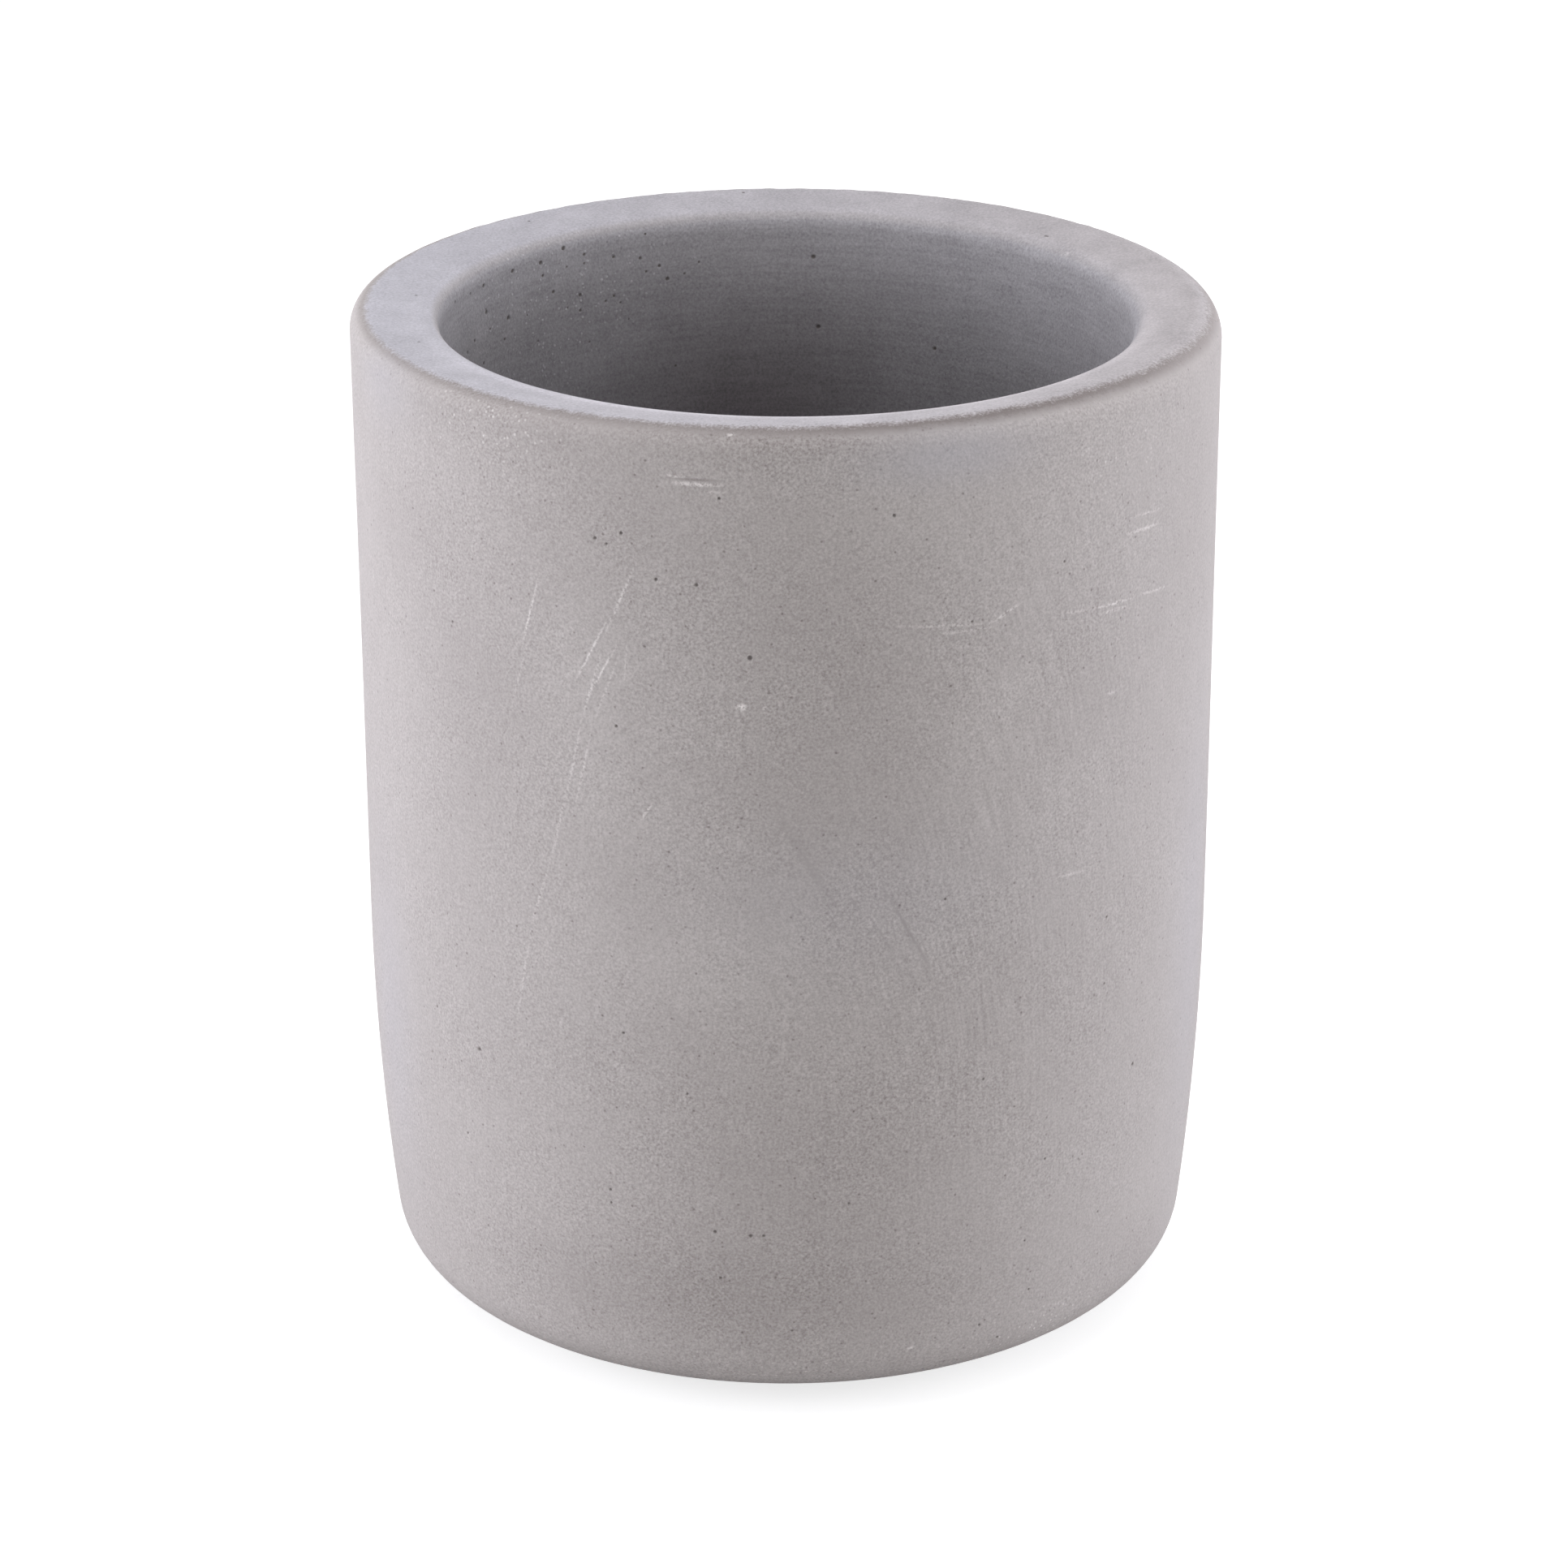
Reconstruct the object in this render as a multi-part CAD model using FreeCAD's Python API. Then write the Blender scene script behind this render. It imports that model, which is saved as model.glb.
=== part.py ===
import FreeCAD, Part
import math
import os

# Bathroom tumbler: a thick-walled cup cast in concrete, standing on a foam pad.
# Lengths are in millimetres, angles in degrees. +Z is up, along the cup's axis.
# The origin is the centre of the pad's underside, on the surface that the cup stands on.

# Cup, outside
cup_height = 100.0          # from the flat underside of the casting to the rim
outer_diameter = 85.0       # across the straight upper side
flank_start_height = 38.0   # height above the underside where the side starts to curve in
flank_radius = 300.0        # slow curve of the lower side
base_corner_radius = 6.0    # quick curve from the lower side to the underside

# Cup, rim and inside
wall_thickness = 8.8        # at the mouth, just under the rim's rounding
rim_outer_radius = 2.5      # rounding on the outside of the rim
rim_inner_radius = 2.5      # rounding on the inside of the rim
rim_fall = 6.8              # the land between the two roundings slopes inwards
rim_flat_least = 0.8        # land that always stays between the two roundings
bore_draft = 0.8            # slope of the inside, left by the tapered core
floor_thickness = 10.0
floor_bevel = 5.5           # slope between the inside wall and the floor, from the core's end

# Foam pad and the adhesive film that holds it
pad_inset = 4.25            # from the edge of the flat underside to the edge of the pad
pad_thickness = 1.5
pad_edge_bevel = 0.3        # the cut edge of the foam is pressed in a little at the bottom
film_inset = 0.5            # the film is cut a little smaller than the pad
film_thickness = 0.15

# Places that follow from the sizes above
outer_radius = outer_diameter / 2
bore_radius = outer_radius - wall_thickness
underside_z = pad_thickness + film_thickness
rim_z = underside_z + cup_height
floor_z = underside_z + floor_thickness


def on_circle(centre, radius, degrees):
    """Point on a circle in the plane of the profile, measured from the outward direction."""
    angle = math.radians(degrees)
    return centre + FreeCAD.Vector(radius * math.cos(angle), 0, radius * math.sin(angle))


def round_edge(centre, radius, start, end):
    """Arc of the profile from one angle to another."""
    middle = on_circle(centre, radius, (start + end) / 2)
    return Part.Arc(on_circle(centre, radius, start), middle, on_circle(centre, radius, end)).toShape()


def straight_edge(start, end):
    return Part.LineSegment(start, end).toShape()


def lower_side():
    """Centres of the lower side's slow curve and of the base corner, and the slope where they meet."""
    flank_centre = FreeCAD.Vector(outer_radius - flank_radius, 0, underside_z + flank_start_height)
    drop = flank_start_height - base_corner_radius
    reach = math.sqrt((flank_radius - base_corner_radius) ** 2 - drop ** 2)
    corner_centre = flank_centre + FreeCAD.Vector(reach, 0, -drop)
    return flank_centre, corner_centre, -math.degrees(math.atan2(drop, reach))


def rim_roundings():
    """Centres of the rim's outer and inner rounding, joined by the sloping land, and the inner radius."""
    soft_radius = min(rim_inner_radius, wall_thickness - rim_outer_radius - rim_flat_least)
    outer_centre = FreeCAD.Vector(outer_radius - rim_outer_radius, 0, rim_z - rim_outer_radius)
    across = outer_centre.x - (bore_radius + soft_radius)
    fall = math.radians(rim_fall)
    drop = across * math.tan(fall) + (soft_radius - rim_outer_radius) / math.cos(fall)
    inner_centre = FreeCAD.Vector(bore_radius + soft_radius, 0, outer_centre.z - drop)
    return outer_centre, inner_centre, soft_radius


def outside_edges():
    """Profile from the rim's land down the outside to the edge of the underside."""
    rim_centre = rim_roundings()[0]
    flank_centre, corner_centre, corner_slope = lower_side()
    side_top = on_circle(rim_centre, rim_outer_radius, 0)
    side_foot = on_circle(flank_centre, flank_radius, 0)
    return [
        round_edge(rim_centre, rim_outer_radius, 90 + rim_fall, 0),
        straight_edge(side_top, side_foot),
        round_edge(flank_centre, flank_radius, 0, corner_slope),
        round_edge(corner_centre, base_corner_radius, corner_slope, -90),
    ]


def inside_edges():
    """Profile from the edge of the cup's floor up the bore to the rim's land."""
    rim_centre, soft_radius = rim_roundings()[1:]
    bore_top = on_circle(rim_centre, soft_radius, 180 - bore_draft)
    bore_foot_z = floor_z + floor_bevel
    narrowing = (bore_top.z - bore_foot_z) * math.tan(math.radians(bore_draft))
    bore_foot = FreeCAD.Vector(bore_top.x - narrowing, 0, bore_foot_z)
    floor_edge = FreeCAD.Vector(bore_foot.x - floor_bevel, 0, floor_z)
    return [
        straight_edge(floor_edge, bore_foot),
        straight_edge(bore_foot, bore_top),
        round_edge(rim_centre, soft_radius, 180 - bore_draft, 90 + rim_fall),
    ]


def make_cast_cup():
    """One casting: the closed profile turned about the cup's axis."""
    outside = outside_edges()
    inside = inside_edges()
    floor_edge = inside[0].Vertexes[0].Point
    rim_land = straight_edge(inside[-1].Vertexes[-1].Point, outside[0].Vertexes[0].Point)
    underside_edge = outside[-1].Vertexes[-1].Point
    underside_centre = FreeCAD.Vector(0, 0, underside_z)
    floor_centre = FreeCAD.Vector(0, 0, floor_z)
    profile = Part.Wire(
        [straight_edge(floor_centre, floor_edge)]
        + inside
        + [rim_land]
        + outside
        + [straight_edge(underside_edge, underside_centre), straight_edge(underside_centre, floor_centre)]
    )
    return Part.Face(profile).revolve(FreeCAD.Vector(0, 0, 0), FreeCAD.Vector(0, 0, 1), 360)


def pad_radius():
    """The pad keeps its inset from the edge of the flat underside."""
    flank_centre, corner_centre, corner_slope = lower_side()
    return corner_centre.x - pad_inset


def make_pad_adhesive():
    """Film of adhesive between the underside of the casting and the foam."""
    return Part.makeCylinder(pad_radius() - film_inset, film_thickness, FreeCAD.Vector(0, 0, pad_thickness))


def make_base_pad():
    """Die-cut foam disc that keeps the concrete off the shelf."""
    disc = Part.makeCylinder(pad_radius(), pad_thickness)
    lower_edge = [edge for edge in disc.Edges if edge.BoundBox.ZMax < pad_thickness / 2]
    return disc.makeChamfer(pad_edge_bevel, lower_edge)


os.makedirs("parts", exist_ok=True)
tumbler = {
    "cast_cup": make_cast_cup(),
    "pad_adhesive": make_pad_adhesive(),
    "base_pad": make_base_pad(),
}
for node, shape in tumbler.items():
    shape.exportStep(f"parts/{node}.step")
    box = shape.optimalBoundingBox()
    print(f"{node}: {box.XLength:.2f} x {box.YLength:.2f} x {box.ZLength:.2f} mm, from z {box.ZMin:.2f},")
    print(f"    {shape.Volume:.0f} mm3, solids {len(shape.Solids)}, valid {shape.isValid()}")
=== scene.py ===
# %% [markdown]
# # A cast concrete bathroom tumbler
# The tumbler is one thick casting of grey cement mortar, poured round a tapered core and turned out of its
# mould when it had set. A foam disc is stuck underneath, so that it doesn't scratch the basin. The solid
# model of these pieces exists already, so this lesson loads it as a fixed frame and dresses it: a finer
# mesh for the casting, with the marks that the mould and the maker's hands left, a foam disc with a cut
# edge, and a finish for each piece.

# %% Load the solid model
import math

import bmesh
import bpy
import numpy as np
from mathutils import Matrix, Vector
from mathutils.bvhtree import BVHTree


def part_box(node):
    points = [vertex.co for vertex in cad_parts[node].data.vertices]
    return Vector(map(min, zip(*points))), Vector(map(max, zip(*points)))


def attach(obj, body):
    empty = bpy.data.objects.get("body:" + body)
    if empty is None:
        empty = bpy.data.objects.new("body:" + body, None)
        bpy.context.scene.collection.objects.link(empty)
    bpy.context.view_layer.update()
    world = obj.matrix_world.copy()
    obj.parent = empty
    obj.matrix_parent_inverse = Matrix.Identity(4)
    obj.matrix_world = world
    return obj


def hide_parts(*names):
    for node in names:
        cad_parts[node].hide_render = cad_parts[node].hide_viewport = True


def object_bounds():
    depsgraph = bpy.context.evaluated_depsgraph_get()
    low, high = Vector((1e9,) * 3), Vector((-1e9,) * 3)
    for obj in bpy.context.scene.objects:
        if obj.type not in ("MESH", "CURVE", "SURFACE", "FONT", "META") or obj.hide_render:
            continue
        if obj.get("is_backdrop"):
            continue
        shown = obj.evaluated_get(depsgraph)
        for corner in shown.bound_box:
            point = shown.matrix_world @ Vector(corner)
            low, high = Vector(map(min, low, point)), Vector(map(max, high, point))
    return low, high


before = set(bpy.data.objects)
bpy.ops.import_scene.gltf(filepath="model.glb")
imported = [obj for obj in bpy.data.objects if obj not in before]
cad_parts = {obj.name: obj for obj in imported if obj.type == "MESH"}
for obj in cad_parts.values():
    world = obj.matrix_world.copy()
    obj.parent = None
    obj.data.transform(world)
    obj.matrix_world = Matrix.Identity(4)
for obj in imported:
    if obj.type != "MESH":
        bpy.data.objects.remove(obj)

solid_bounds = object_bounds()
MM = 0.001                      # metres in a millimetre
print("pieces in the frame:", sorted(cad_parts))

# %% [markdown]
# ## The camera
# The tumbler was photographed from about half a metre away, from a little above its rim. The camera comes
# first, because marks on the concrete are placed by looking through it: a pixel of the photograph becomes a
# ray, and the mark sits where that ray meets the cup. The lens is long and has no shift, so that other
# views stay true.

# %% Camera
photo_width = 1932              # pixels, and the photograph is square
sensor_width = 36.0             # mm
focal_ratio = 3.182             # focal length over image width
camera_place = Vector((0, -468.4, 240.8)) * MM
camera_pitch = math.radians(22.11)  # downwards
camera_yaw = math.radians(0.04)
camera_roll = math.radians(-0.17)
camera_turn = (
    Matrix.Rotation(camera_yaw, 4, "Z")
    @ Matrix.Rotation(math.pi / 2 - camera_pitch, 4, "X")
    @ Matrix.Rotation(camera_roll, 4, "Z")
)


def new_object(name, data):
    """Object with this shape, lens or lamp, put in the scene."""
    made = bpy.data.objects.new(name, data)
    bpy.context.scene.collection.objects.link(made)
    return made


camera = new_object("camera", bpy.data.cameras.new("camera"))
camera.matrix_world = Matrix.Translation(camera_place) @ camera_turn
camera.data.sensor_width = sensor_width
camera.data.lens = focal_ratio * sensor_width
bpy.context.scene.camera = camera


def ray_through(pixel):
    """Direction from the camera through a pixel of the photograph."""
    across = (pixel[0] / photo_width - 0.5) / focal_ratio
    up = (0.5 - pixel[1] / photo_width) / focal_ratio
    return (camera_turn.to_3x3() @ Vector((across, up, -1))).normalized()


print(f"lens {camera.data.lens:.1f} mm, {camera_place.length / MM:.0f} mm from the foot of the cup")

# %% [markdown]
# ## The casting's profile
# A cup that is round about one axis is easiest to make as a profile turned about it. The profile here runs
# from the middle of the underside, round the base corner, up the side, over the rim, down the bore and in
# along the floor. Each stretch knows its exact length, so a point of the surface can be named by its
# distance along the profile and its angle round the axis. Height and width come from the frame, and the
# radii are the casting's own.

# %% Sizes of the casting, in mm
cup_low, cup_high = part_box("cast_cup")
outer_radius = cup_high.x / MM
rim_z = cup_high.z / MM
underside_z = cup_low.z / MM
flank_start_height = 38.0       # the straight side ends here, above the underside
flank_radius = 300.0            # slow curve of the lower side
base_corner_radius = 6.0
wall_thickness = 8.8            # at the mouth
rim_outer_radius = 2.5
rim_inner_radius = 2.5
rim_fall = math.radians(6.8)    # the rim's land slopes inwards
bore_draft = math.radians(0.8)  # slope left by the tapered core
floor_thickness = 10.0
floor_round = 8.5               # where the bore meets the floor
floor_z = underside_z + floor_thickness
print(f"casting {2 * outer_radius:.1f} mm wide and {rim_z - underside_z:.1f} mm high")


# %% Two kinds of stretch
def line(start, end, spacing):
    """Straight stretch: its length, the spacing of its rows and its points by share of the length."""
    start = np.array(start)
    end = np.array(end)
    return math.dist(start, end), spacing, lambda share: start + np.outer(share, end - start)


def arc(centre, radius, first, last, spacing):
    """Round stretch between two angles, measured from the outward direction."""
    def points(share):
        turned_by = first + (last - first) * share
        return np.array(centre) + radius * np.stack([np.cos(turned_by), np.sin(turned_by)], 1)
    return radius * abs(last - first), spacing, points


# %% Where the stretches meet
up_right = math.pi / 2
land_facing = up_right + rim_fall


def on_circle(centre, radius, direction):
    """Point of a circle in the plane of the profile."""
    return centre[0] + radius * math.cos(direction), centre[1] + radius * math.sin(direction)


flank_centre = (outer_radius - flank_radius, underside_z + flank_start_height)
corner_drop = flank_start_height - base_corner_radius
corner_reach = math.sqrt((flank_radius - base_corner_radius) ** 2 - corner_drop ** 2)
corner_centre = (flank_centre[0] + corner_reach, flank_centre[1] - corner_drop)
corner_slope = -math.atan2(corner_drop, corner_reach)
outer_rim_centre = (outer_radius - rim_outer_radius, rim_z - rim_outer_radius)
inner_rim_out = outer_radius - wall_thickness + rim_inner_radius
land_drop = (outer_rim_centre[0] - inner_rim_out) * math.tan(rim_fall)
land_drop += (rim_inner_radius - rim_outer_radius) / math.cos(rim_fall)
inner_rim_centre = (inner_rim_out, outer_rim_centre[1] - land_drop)
side_top = on_circle(outer_rim_centre, rim_outer_radius, 0)
land_outer = on_circle(outer_rim_centre, rim_outer_radius, land_facing)
land_inner = on_circle(inner_rim_centre, rim_inner_radius, land_facing)
bore_top = on_circle(inner_rim_centre, rim_inner_radius, math.pi - bore_draft)
floor_round_z = floor_z + floor_round
bore_at_round = bore_top[0] - (bore_top[1] - floor_round_z) * math.tan(bore_draft)
floor_edge = bore_at_round - floor_round / math.cos(bore_draft)
bore_foot = (
    floor_edge + floor_round * math.cos(bore_draft),
    floor_round_z - floor_round * math.sin(bore_draft),
)
print(f"the rim's land is {math.dist(land_outer, land_inner):.1f} mm wide, the floor {2 * floor_edge:.1f} mm")

# %% The profile
side_spacing = 1.4              # mm between rows of the mesh
corner_spacing = 0.6
edge_spacing = 0.35             # fine, because sand breaks out of this edge
rim_spacing = 0.4
flat_spacing = 2.5
profile = {
    "underside": line((0, underside_z), (corner_centre[0], underside_z), flat_spacing),
    "corner": arc(corner_centre, base_corner_radius, -up_right, corner_slope, corner_spacing),
    "flank": arc(flank_centre, flank_radius, corner_slope, 0, side_spacing),
    "side": line((outer_radius, flank_centre[1]), side_top, side_spacing),
    "outer_rim": arc(outer_rim_centre, rim_outer_radius, 0, land_facing, edge_spacing),
    "land": line(land_outer, land_inner, corner_spacing),
    "inner_rim": arc(inner_rim_centre, rim_inner_radius, land_facing, math.pi - bore_draft, rim_spacing),
    "bore": line(bore_top, bore_foot, side_spacing),
    "floor_edge": arc((floor_edge, floor_round_z), floor_round, -bore_draft, -up_right, side_spacing),
    "floor": line((floor_edge, floor_z), (0, floor_z), flat_spacing),
}
starts = dict(zip(profile, np.cumsum([0.0] + [stretch[0] for stretch in profile.values()])))
profile_length = sum(stretch[0] for stretch in profile.values())


def walk(stretches, finer=1.0):
    """Rows along a profile: distance along it, radius and height, in mm."""
    rows = []
    walked = 0.0
    for length, spacing, points in stretches.values():
        count = math.ceil(length / spacing * finer)
        share = np.arange(count) / count
        rows.append(np.column_stack([walked + share * length, points(share)]))
        walked += length
    end = points(np.ones(1))
    return np.vstack([*rows, np.column_stack([[walked], end])])


print("stretches start at, in mm:", {name: round(float(at), 1) for name, at in starts.items()})

# %% [markdown]
# ## Turning the profile into a mesh
# A Screw modifier would turn the profile too, but marks such as pinholes need small faces, and a mesh that
# is fine everywhere would be heavy. So the rows are turned here into a plain grid of quads, and later cells
# divide it only where a mark needs it. The grid carries each point's distance along the profile, and a
# texture map that simply unrolls the surface: the angle goes across, and the distance along the profile
# goes up.

# %% Turn the profile
seam_angle = math.pi / 2        # the texture map opens at the back of the cup


def turned(rows, columns):
    """Turns rows of distance, radius and height about the axis. A row of no radius is one point."""
    shape = bmesh.new()
    along = shape.verts.layers.float.new("along_profile")
    unrolled = shape.loops.layers.uv.new("OFBake")
    rings = []
    for distance, out, up in rows:
        ring = []
        for column in range(columns if out > 1e-6 else 1):
            angle = seam_angle + 2 * math.pi * column / columns
            point = shape.verts.new(Vector((out * math.cos(angle), out * math.sin(angle), up)) * MM)
            point[along] = distance
            ring.append(point)
        rings.append(ring)
    for low, high in zip(rings, rings[1:]):
        for column in range(columns):
            corners = []
            for ring, ends in ((low, (column, column + 1)), (high, (column + 1, column))):
                corners += [(ring, end) for end in ends] if len(ring) > 1 else [(ring, column + 0.5)]
            face = shape.faces.new([ring[int(end) % len(ring)] for ring, end in corners])
            for loop, (ring, end) in zip(face.loops, corners):
                loop[unrolled].uv = (end / columns, loop.vert[along] / rows[-1][0])
    shape.normal_update()
    return shape


casting_shape = turned(walk(profile), columns=240)
print(f"casting of {len(casting_shape.faces)} faces")

# %% [markdown]
# ## Pinholes
# Mortar holds air, and bubbles against the mould leave round pinholes, from a needle's prick to half a
# millimetre. They could be painted, but a hole catches light on its far edge, so they are real dents here,
# and their darker inside is partly dust and partly painted shade.
# Those that the photograph shows are listed by pixel and width. The sides that it doesn't show get as many,
# at random from a fixed seed, because the mould treats all sides alike.

# %% Pinholes of the photograph
pinholes_by_pixel = [           # x, y and width in mm
    (924, 811, 0.50), (765, 657, 0.36), (733, 663, 0.36), (747, 670, 0.28), (808, 714, 0.36),
    (858, 721, 0.36), (886, 615, 0.32), (557, 766, 0.26), (759, 895, 0.32), (1102, 635, 0.36),
    (1312, 692, 0.26), (1198, 766, 0.26), (1165, 1108, 0.26), (1364, 1130, 0.26), (1361, 1212, 0.26),
    (590, 1293, 0.40), (768, 1273, 0.30), (847, 1348, 0.26), (752, 1466, 0.30), (753, 1482, 0.26),
    (881, 1518, 0.36), (925, 1523, 0.40), (941, 1523, 0.32), (888, 1575, 0.30), (576, 1396, 0.26),
    (538, 1240, 0.26), (1396, 1311, 0.40), (1288, 1428, 0.26), (1353, 1493, 0.26), (1263, 1529, 0.26),
    (1268, 1589, 0.26), (1212, 1330, 0.26), (1046, 1483, 0.26), (1207, 1633, 0.30), (1229, 1648, 0.30),
    (976, 1640, 0.26), (694, 306, 0.50), (667, 324, 0.50), (632, 334, 0.55), (670, 340, 0.36),
    (721, 314, 0.36), (721, 325, 0.30), (757, 317, 0.36), (823, 344, 0.45), (813, 328, 0.36),
    (797, 335, 0.30), (596, 352, 0.45), (580, 362, 0.36), (561, 372, 0.36), (600, 385, 0.50),
    (627, 392, 0.55), (683, 360, 0.40), (716, 364, 0.40), (586, 420, 0.40), (716, 383, 0.36),
    (1002, 317, 0.50), (1008, 403, 0.50), (1151, 430, 0.45), (654, 273, 0.32), (916, 237, 0.40),
    (513, 364, 0.32), (518, 421, 0.32), (1289, 291, 0.55),
]
cup_surface = BVHTree.FromBMesh(casting_shape)


def on_cup(pixel):
    """Where the ray through a pixel meets the cup, and which way the surface faces there."""
    return cup_surface.ray_cast(camera_place, ray_through(pixel))[:2]


pinholes = [(on_cup(pixel)[0], width * MM / 2) for *pixel, width in pinholes_by_pixel]
print(f"{len(pinholes)} pinholes placed by pixel")

# %% Pinholes on the sides that the photograph doesn't show
hidden_pinholes = 46
hidden_radii = (0.13, 0.26)     # mm, least and most
chance = np.random.default_rng(7)
dense = walk(profile, finer=40)


def cup_point(distance, angle):
    """Point of the smooth cup by distance along the profile, in mm, and angle."""
    out = np.interp(distance, dense[:, 0], dense[:, 1])
    up = np.interp(distance, dense[:, 0], dense[:, 2])
    return Vector((out * math.cos(angle), out * math.sin(angle), up)) * MM


hidden_areas = [                # first and last distance in mm, least and most angle in degrees
    (starts["corner"] + 2, starts["outer_rim"], 15, 165),          # the far half of the outside
    (starts["bore"], starts["floor_edge"], -150, -30),             # the near half of the bore
    (starts["underside"] + 32, starts["corner"], -180, 180),       # the bare ring round the foam
]
for number in range(hidden_pinholes):
    first, last, least, most = hidden_areas[number % 5 // 2]       # two, two and one of every five
    place = cup_point(chance.uniform(first, last), math.radians(chance.uniform(least, most)))
    pinholes.append((place, chance.uniform(*hidden_radii) * MM))

# %% Pits of the far left of the bore, which is rougher than the rest
rough_pits = 24
rough_depths = (-1, 14)         # mm down the bore
rough_angles = (100, 185)       # degrees
rough_radii = (0.10, 0.20)      # mm
rough_chance = np.random.default_rng(8)
for number in range(rough_pits):
    deep_in = starts["bore"] + rough_chance.uniform(*rough_depths)
    place = cup_point(deep_in, math.radians(rough_chance.uniform(*rough_angles)))
    pinholes.append((place, rough_chance.uniform(*rough_radii) * MM))
print(f"{len(pinholes)} pinholes in all")

# %% Divide the mesh where it needs small faces
rim_cuts = 3
pinhole_cuts = (3, 3)           # divided twice, and the second time only close to the hole
pinhole_margin = 1.3            # how far from its middle, in radii
same_row = 0.01                 # mm
along_layer = casting_shape.verts.layers.float["along_profile"]
rim_low = starts["outer_rim"] - 1.5
rim_high = starts["inner_rim"] + 0.5
rim_edges = [
    edge for edge in casting_shape.edges
    if all(rim_low < point[along_layer] < rim_high for point in edge.verts)
    and abs(edge.verts[0][along_layer] - edge.verts[1][along_layer]) < same_row
]
bmesh.ops.subdivide_edges(casting_shape, edges=rim_edges, cuts=rim_cuts)
for cuts in pinhole_cuts:
    surface = BVHTree.FromBMesh(casting_shape)
    casting_shape.faces.ensure_lookup_table()
    near = set()
    for place, radius in pinholes:
        near.update(hit[2] for hit in surface.find_nearest_range(place, radius * pinhole_margin))
    near_edges = {edge for index in near for edge in casting_shape.faces[index].edges}
    bmesh.ops.subdivide_edges(casting_shape, edges=list(near_edges), cuts=cuts, use_grid_fill=True)
casting_mesh = bpy.data.meshes.new("concrete_casting")
casting_shape.to_mesh(casting_mesh)
casting_shape.free()
casting_mesh.calc_loop_triangles()
print(f"{len(casting_mesh.loop_triangles)} triangles after dividing")

# %% [markdown]
# ## Hand-cast unevenness
# No two castings are alike: the side swells and dips by a tenth of a millimetre, the rim is rubbed down by
# hand, so that its outer corner is crisper on the left than on the right, and sand grains break out along
# that corner. All of it stays inside the box of the solid model. The points are first put back on the true
# surface, because dividing a face leaves its new points on the flat of that face.

# %% Points of the true surface
count = len(casting_mesh.vertices)
flat_place = np.empty(count * 3)
casting_mesh.vertices.foreach_get("co", flat_place)
flat_place = flat_place.reshape(-1, 3)
distance = np.empty(count)
casting_mesh.attributes["along_profile"].data.foreach_get("value", distance)
angle = np.arctan2(flat_place[:, 1], flat_place[:, 0])
radius = np.interp(distance, dense[:, 0], dense[:, 1])
height = np.interp(distance, dense[:, 0], dense[:, 2])
normal_out = np.interp(distance, dense[:, 0], np.gradient(dense[:, 2], dense[:, 0]))
normal_up = -np.interp(distance, dense[:, 0], np.gradient(dense[:, 1], dense[:, 0]))
smooth = np.stack([radius * np.cos(angle), radius * np.sin(angle), height], 1)
print(f"{count} points put back on the true surface")


# %% Fields over the casting
def swell(wavelength, seed, waves=14):
    """Uneven field over the casting, about -2 to 2, from a few waves in seeded directions."""
    drawn = np.random.default_rng(seed)
    directions = drawn.normal(size=(waves, 3))
    directions *= 2 * math.pi / wavelength / np.linalg.norm(directions, axis=1)[:, None]
    phases = drawn.uniform(0, 2 * math.pi, waves)
    return np.sin(smooth @ directions.T + phases).sum(1) / math.sqrt(waves)


def fade(value, start, end):
    """0 before start, 1 after end and smooth between."""
    share = np.clip((value - start) / (end - start), 0, 1)
    return share * share * (3 - 2 * share)


def towards(direction, tightness):
    """1 at this angle round the cup, and less away from it."""
    return np.exp(tightness * (np.cos(angle - direction) - 1))


def about(place, half_width):
    """1 at this distance along the profile, and less before and after it."""
    return np.exp(-(((distance - place) / half_width) ** 2))


# %% Swells of the side and the bore
side_swell = 0.025              # mm deep
side_wave = 38                  # mm from swell to swell
bore_swell = 0.05
bore_wave = 22
most_swell = 2                  # the field's own height, so that swells only go inwards
past_corner = fade(distance, starts["corner"], starts["flank"])
past_rim = fade(distance, starts["outer_rim"], starts["land"])
in_bore = fade(distance, starts["inner_rim"], starts["bore"])
past_floor_edge = fade(distance, starts["floor_edge"], starts["floor"])
dip = side_swell * (swell(side_wave, 1) - most_swell) * past_corner * (1 - past_rim)
dip += bore_swell * (swell(bore_wave, 2) - most_swell) * in_bore * (1 - past_floor_edge)
print(f"swells down to {dip.min():.2f} mm")

# %% Rim's outer corner, rubbed down by hand
edge_place = starts["outer_rim"] + 3.3  # where the worn edge runs
near_edge = about(edge_place, 0.8)
edge_breaks = [(0.015, 2.6, 3), (0.012, 1.1, 4)]   # mm deep, mm apart and seed
for break_depth, break_wave, seed in edge_breaks:
    dip += break_depth * (swell(break_wave, seed) - most_swell) * near_edge
softer_right = 0.55 * np.cos(angle)  # mm on the corner's radius
blend_below = 8                 # mm of the side that follow
rise = -softer_right * fade(distance, starts["outer_rim"] - blend_below, starts["outer_rim"])
reach = -softer_right * (1 - fade(distance, starts["land"], starts["inner_rim"]))
rounding = np.clip((distance - starts["outer_rim"]) / rim_outer_radius, 0, up_right)
height += np.where(distance < starts["land"], rise * (1 - np.sin(rounding)), 0)
radius += np.where(distance > starts["outer_rim"], reach * (1 - np.cos(rounding)), 0)
print(f"outer corner of {rim_outer_radius + softer_right.min():.1f} to "
      f"{rim_outer_radius + softer_right.max():.1f} mm")

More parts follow.
